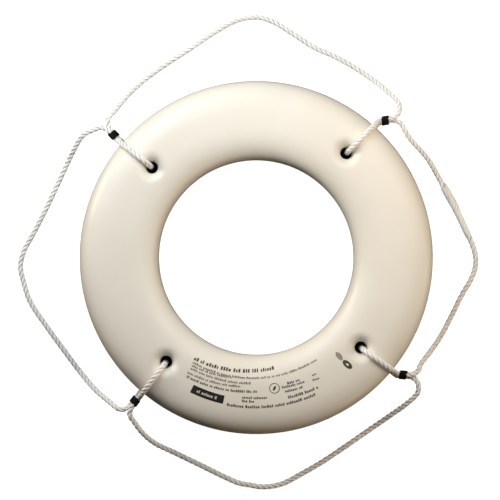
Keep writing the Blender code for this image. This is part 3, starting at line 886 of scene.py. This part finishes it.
def swell(along):
    """How much each point of the right loop is thickened by the splice: not at all outside it, partly in
    its slender lower part, and fully from there up to its butt end."""
    into = along - SPLICE_START
    slender = SPLICE_SLENDER_SHARE * eased(into / SPLICE_TAPER)
    full = (1 - SPLICE_SLENDER_SHARE) * eased((into - SPLICE_SLENDER) / SPLICE_TAPER + 0.5)
    return (slender + full) * eased((SPLICE_LENGTH - into) / SPLICE_BUTT)


def spliced_strands(line):
    """The right loop's three strands, which spread apart along the splice, and the three tucked ends that
    lie between them there and bury themselves at both its ends."""
    along = np.linspace(0, line_length(line), len(line))
    share = swell(along)
    lay = LAY_LENGTH + (SPLICE_LAY - LAY_LENGTH) * share
    turn = np.cumsum(2 * np.pi * np.gradient(along) / lay)
    orbit = STRAND_ORBIT + (SPLICE_ORBIT - STRAND_ORBIT) * share
    radius = STRAND_RADIUS + (SPLICE_STRAND - STRAND_RADIUS) * share
    wave = SPLICE_WAVE * share * np.sin(2 * np.pi * along / SPLICE_WAVE_LENGTH)
    main = [strand(line, UP, orbit + wave, radius, turn + 2 * np.pi * k / 3) for k in range(3)]
    tucked = []
    for k in range(3):
        start = SPLICE_START + TUCK_LEAD + TUCK_STAGGER * (k - 1)
        first, last = np.searchsorted(along, (start, start + SPLICE_LENGTH))
        part = slice(first, last)
        from_end = np.minimum(np.arange(last - first), np.arange(last - first)[::-1])
        thinned = radius[part] * np.clip(from_end / TUCK_STEPS, TUCK_THINNEST, 1)
        between = turn[part] + np.pi / 3 * (2 * k + 1)
        tucked.append(strand(line[part], UP, (orbit - wave)[part], thinned, between))
    return main, tucked


def make_loop(loop):
    """One loop of the grab line, held at its seizings."""
    line = loop_line(loop)
    if loop == "right":
        lifted_line = line.copy()
        along = np.linspace(0, line_length(line), len(line))
        lifted_line[:, 2] += (SPLICE_ORBIT + SPLICE_STRAND + SPLICE_WAVE - ROPE_RADIUS) * swell(along)
        line = lifted_line
        main, tucked = spliced_strands(line)
        piece = rope_piece("laid_loop_right", main)
        splice = rope_piece("tucked_splice", tucked)
        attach(splice, "right_loop")
        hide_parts("rope_splice")
    else:
        piece = rope_piece(f"laid_loop_{loop}", laid_strands(line, UP))
        splice = None
    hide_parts(*LOOP_NODES[loop])
    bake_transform(piece)


# ---- the seizings --------------------------------------------------------------------------------


def make_seizing(corner):
    """Turns of black twine wound side by side round both legs. The cord's middle follows a circle whose own
    middle slides from one leg to the other as it passes between them, while it moves along the bore."""
    across, up = leg_offset(FRONT)
    apart = math.hypot(across, up)
    heading = polar(1, SEIZING_HEADINGS[corner])
    sideways = polar(1, SEIZING_HEADINGS[corner] + 90)
    to_front = (sideways * across + UP * up) / apart
    aside = np.cross(heading, to_front)
    middle = lifted(polar(SEIZING_RADIUS, SEIZING_ANGLES[corner]))
    turn = np.linspace(0, 2 * np.pi * TWINE_TURNS, 44 * TWINE_TURNS + 1)
    reach = ROPE_RADIUS + TWINE_RADIUS
    lengthwise = apart * np.clip(3 * np.cos(turn), -1, 1) + reach * np.cos(turn)
    half = SEIZING_LENGTH / 2 - TWINE_RADIUS
    along = np.linspace(-half, half, len(turn))
    line = (
        middle + lengthwise[:, None] * to_front + (reach * np.sin(turn))[:, None] * aside
        + along[:, None] * heading
    )
    vertices, faces, uv, level = strand(line, heading, 0.0, TWINE_RADIUS * 1.08, 0.0)
    piece = mesh_piece(f"wound_seizing_{corner}", vertices, faces, SEIZING, uv, level)
    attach(piece, "ring")
    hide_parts(f"seizing_{corner}")


# ---- the plugs in the back, and the foam ---------------------------------------------------------


def make_plug(node):
    """A turned plug cap: its profile runs in from a rounded rim, over a shallow ring, to a dimple in the
    middle, and is carried once round the plug's axis."""
    angle, flange = PLUGS[node]
    share = np.linspace(1, 0.02, 26)
    dome = PLUG_PROUD * np.sqrt(np.clip(1 - ((share - 0.86) / 0.14).clip(0, 1) ** 2, 0, 1))
    rings = 0.00035 * np.exp(-(((share - 0.62) / 0.05) ** 2)) + 0.0005 * np.exp(-((share / 0.2) ** 2))
    radius = np.concatenate([[flange * 0.98], flange * share])
    drop = np.concatenate([[-0.0012], dome - rings])
    turn = np.radians(np.arange(0, 360, 7.5))[:, None]
    centre = polar(SECTION_RADIUS, angle)
    points = np.stack([
        centre[0] + radius * np.cos(turn), centre[1] + radius * np.sin(turn),
        np.broadcast_to(-HALF_THICKNESS - drop, (len(turn), len(radius))),
    ], axis=-1)
    columns = len(radius)
    faces = grid_faces(len(turn), columns, True, False).tolist()
    faces.append([row * columns for row in range(len(turn))])
    faces.append([row * columns + columns - 1 for row in range(len(turn))])
    piece = mesh_piece(f"{node}_cap", lifted(points.reshape(-1, 3)), faces, PLUG)
    mend(piece)
    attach(piece, "ring")
    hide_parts(node)


def finish_foam():
    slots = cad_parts["foam_core"].data.materials
    slots.clear()
    slots.append(FOAM)


# ---- the camera, the backdrop and the lights -----------------------------------------------------


def make_camera():
    data = bpy.data.cameras.new("camera")
    data.sensor_width = SENSOR
    data.lens = SENSOR * CAMERA_ABOVE / VIEW_WIDTH
    data.clip_start, data.clip_end = 0.1, 40.0
    camera = bpy.data.objects.new("camera", data)
    bpy.context.scene.collection.objects.link(camera)
    across, up = polar(CAMERA_SHIFT[0], CAMERA_ROLL), polar(CAMERA_SHIFT[1], CAMERA_ROLL + 90)
    camera.location = lifted(across + up + CAMERA_ABOVE * UP)
    camera.rotation_euler = (0, 0, math.radians(CAMERA_ROLL))
    bpy.context.scene.camera = camera


def make_backdrop():
    """A white floor that curves up into a round wall and gives off its own light, so that it stays even,
    but for a painted shadow: a dark, unlit band under the middle of the ring, which is what shows through
    the rope holes."""
    f = Finish("backdrop_white_and_painted_shadow", 0.9)
    f.shader.inputs["Specular IOR Level"].default_value = 0.0
    f.shader.inputs["Emission Color"].default_value = (1, 1, 1, 1)
    flat = f.add("VectorMath")
    flat.operation = "LENGTH"
    f.join(f.places(), flat.inputs[0])
    aside = f.add("Math")
    aside.operation = "SUBTRACT"
    aside.inputs[1].default_value = SECTION_RADIUS
    f.join(flat.outputs["Value"], aside.inputs[0])
    apart = f.add("Math")
    apart.operation = "ABSOLUTE"
    f.join(aside.outputs["Value"], apart.inputs[0])
    # Painted shadow: within the band under the middle of the ring the backdrop is near black and gives off
    # no light.
    clear = f.spread(apart.outputs["Value"], 0.0, 1.0, *PAINTED_SHADOW_BAND)
    f.join(f.spread(clear, 0.0, BACKDROP_GLOW), f.shader.inputs["Emission Strength"])
    f.paint(f.ramp(clear, (0.0, (0.010, 0.008, 0.006)), (1.0, (0.9, 0.9, 0.9))))
    rise = np.radians(np.arange(0, 91, 10))
    radius = np.concatenate([[0.01], BACKDROP_RADIUS + BACKDROP_BEND * np.sin(rise)])
    height = np.concatenate([[0.0], BACKDROP_BEND * (1 - np.cos(rise))])
    radius, height = np.append(radius, radius[-1]), np.append(height, BACKDROP_HEIGHT)
    turn = np.radians(np.arange(0, 360, 5))[:, None]
    points = np.stack([
        radius * np.cos(turn), radius * np.sin(turn), np.broadcast_to(height, (len(turn), len(radius))),
    ], axis=-1)
    faces = grid_faces(len(turn), len(radius), True, False).tolist()
    faces.append([row * len(radius) for row in range(len(turn))])
    backdrop = mesh_piece("studio_backdrop", points.reshape(-1, 3), faces, f.made)
    backdrop.visible_diffuse = False
    backdrop.visible_glossy = False


def make_light(name):
    around, above, distance, size, power, colour = LIGHTS[name]
    data = bpy.data.lights.new(name, "AREA")
    data.shape = "DISK"
    data.size = size
    data.energy = power
    data.color = colour
    light = bpy.data.objects.new(name, data)
    bpy.context.scene.collection.objects.link(light)
    up = math.radians(above)
    light.location = lifted(polar(distance * math.cos(up), around, distance * math.sin(up)))
    light.rotation_euler = (math.radians(90 - above), 0, math.radians(around + 90))


def make_world():
    world = bpy.data.worlds.new("studio")
    bpy.context.scene.world = world
    world.use_nodes = True
    background = world.node_tree.nodes["Background"]
    background.inputs["Color"].default_value = (1.0, 0.97, 0.93, 1)
    background.inputs["Strength"].default_value = WORLD_STRENGTH
    bpy.context.scene.view_settings.view_transform = "Standard"


make_camera()
for loop in LOOP_ROUTES:
    make_loop(loop)
for corner in HOLE_ANGLES:
    make_bight(corner)
    make_seizing(corner)
make_shell()
make_print()
for plug in PLUGS:
    make_plug(plug)
finish_foam()
make_backdrop()
for light in LIGHTS:
    make_light(light)
make_world()
